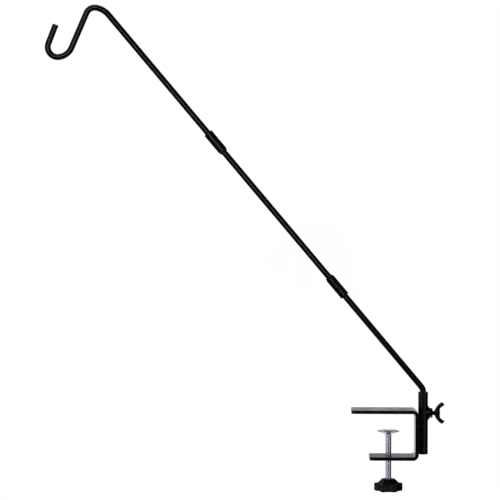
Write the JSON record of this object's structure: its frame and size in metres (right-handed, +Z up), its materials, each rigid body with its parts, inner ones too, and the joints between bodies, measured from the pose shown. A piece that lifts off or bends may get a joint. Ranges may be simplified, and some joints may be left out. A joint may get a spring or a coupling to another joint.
{
  "type": "deck rail hook",
  "caption": "Black steel C-clamp with a star-knob spindle and an upright sleeve, in which a leaning sectional pole swivels and ends in a hook for a feeder, lantern or planter.",
  "frame": {"origin": "underside of the top jaw, where the rail touches it, on the spindle's axis", "axes": "+Z up along the spindle, +X from the spindle towards the sleeve, +Y across the clamp's width"},
  "size_m": [0.5201, 0.04, 0.6319],
  "materials": {
    "powder_coat": "semi-gloss black powder coat",
    "plated_steel": "bright zinc plating",
    "black_zinc": "black zinc plating",
    "insert_steel": "turned steel",
    "knob_plastic": "moulded black plastic"
  },
  "bodies": {
    "clamp": {"clamp_bracket": "powder_coat", "sleeve_tube": "powder_coat", "sleeve_weld_front": "powder_coat", "sleeve_weld_rear": "powder_coat", "set_screw_nut": "powder_coat", "nut_weld": "powder_coat"},
    "pad": {"pressure_pad": "plated_steel"},
    "spindle": {"clamp_spindle": "plated_steel", "star_knob": "knob_plastic", "knob_insert": "insert_steel"},
    "set_screw": {"wing_stud": "black_zinc"},
    "wings": {"wing_head": "black_zinc"},
    "lower_section": {"lower_pole": "powder_coat"},
    "middle_section": {"lower_coupler": "powder_coat", "lower_coupler_weld": "powder_coat", "middle_pole": "powder_coat", "upper_coupler_weld": "powder_coat", "upper_coupler": "powder_coat"},
    "hook_section": {"hook_pole": "powder_coat"}
  },
  "joints": [
    {"name": "pad_travel", "type": "slide", "parent": "clamp", "child": "pad", "axis": [0, 0, 1], "range_m": [-0.026, 0.0234]},
    {"name": "spindle_turn", "type": "hinge", "parent": "pad", "child": "spindle", "pos_m": [0, 0, 0], "axis": [0, 0, 1], "range_deg": [-7500, 6750]},
    {"name": "set_screw_travel", "type": "slide", "parent": "clamp", "child": "set_screw", "axis": [1, 0, 0], "range_m": [0, 0.01]},
    {"name": "wing_turn", "type": "hinge", "parent": "set_screw", "child": "wings", "pos_m": [0.06, 0, -0.0005], "axis": [1, 0, 0], "range_deg": [0, 3610]},
    {"name": "pole_swivel", "type": "hinge", "parent": "clamp", "child": "lower_section", "pos_m": [0.04485, 0, 0], "axis": [0, 0, 1], "continuous": true},
    {"name": "middle_pull", "type": "slide", "parent": "lower_section", "child": "middle_section", "axis": [-0.6441, 0, 0.7649], "range_m": [0, 0.016]},
    {"name": "hook_pull", "type": "slide", "parent": "middle_section", "child": "hook_section", "axis": [-0.6441, 0, 0.7649], "range_m": [0, 0.016]}
  ],
  "couplings": [
    {"joint": "spindle_turn", "follows": "pad_travel", "rad_per_m": 5026.5},
    {"joint": "wing_turn", "follows": "set_screw_travel", "rad_per_m": 6283.2}
  ]
}
